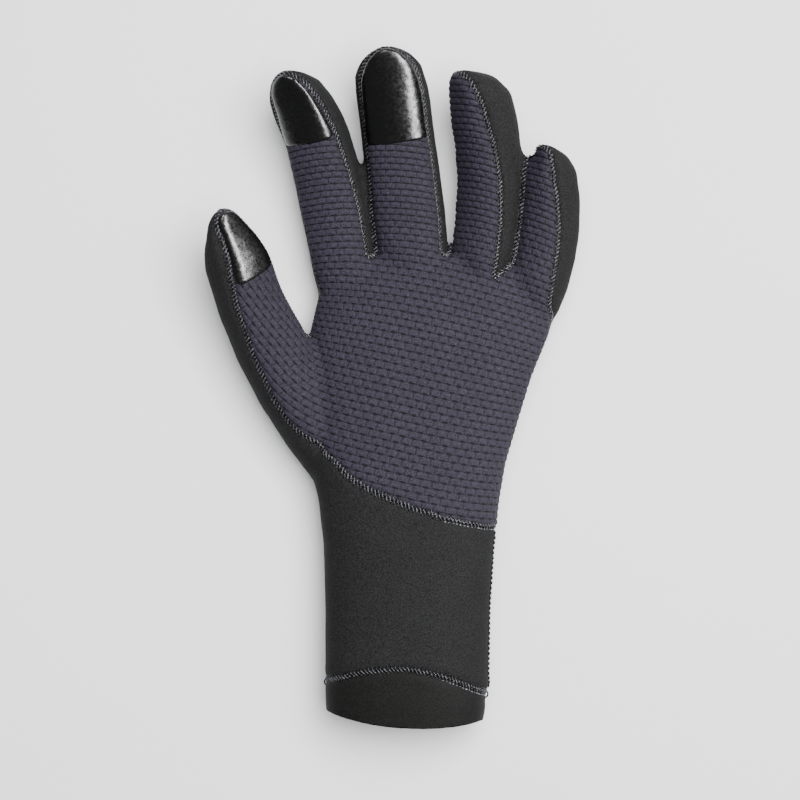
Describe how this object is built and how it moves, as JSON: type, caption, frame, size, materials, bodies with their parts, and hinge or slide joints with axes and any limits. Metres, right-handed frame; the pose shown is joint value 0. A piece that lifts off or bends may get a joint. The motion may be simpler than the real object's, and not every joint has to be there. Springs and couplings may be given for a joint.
{
  "type": "diving glove",
  "caption": "Left-hand padded neoprene diving glove with a knit-faced palm, plain back and wrist, glossy fingertip patches and a shaped cuff band; hollow and open at the cuff.",
  "frame": {"origin": "on the surface that the glove lies on, under the middle of its bounding box", "axes": "+Y from the cuff to the fingertips, +X towards the little finger, +Z out of the palm; the glove lies on its back"},
  "size_m": [0.1576, 0.2848, 0.0547],
  "materials": {
    "palm_knit": "grey-violet raised brick knit bonded to neoprene",
    "back_jersey": "plain black nylon jersey bonded to neoprene",
    "band_jersey": "smooth black neoprene band",
    "tip_coating": "glossy black crinkled rubber film"
  },
  "bodies": {
    "root": {"palm_panel": "palm_knit", "back_panel": "back_jersey", "cuff_band": "band_jersey", "thumb_tip_patch": "tip_coating", "index_tip_patch": "tip_coating", "middle_tip_patch": "tip_coating"}
  },
  "joints": []
}
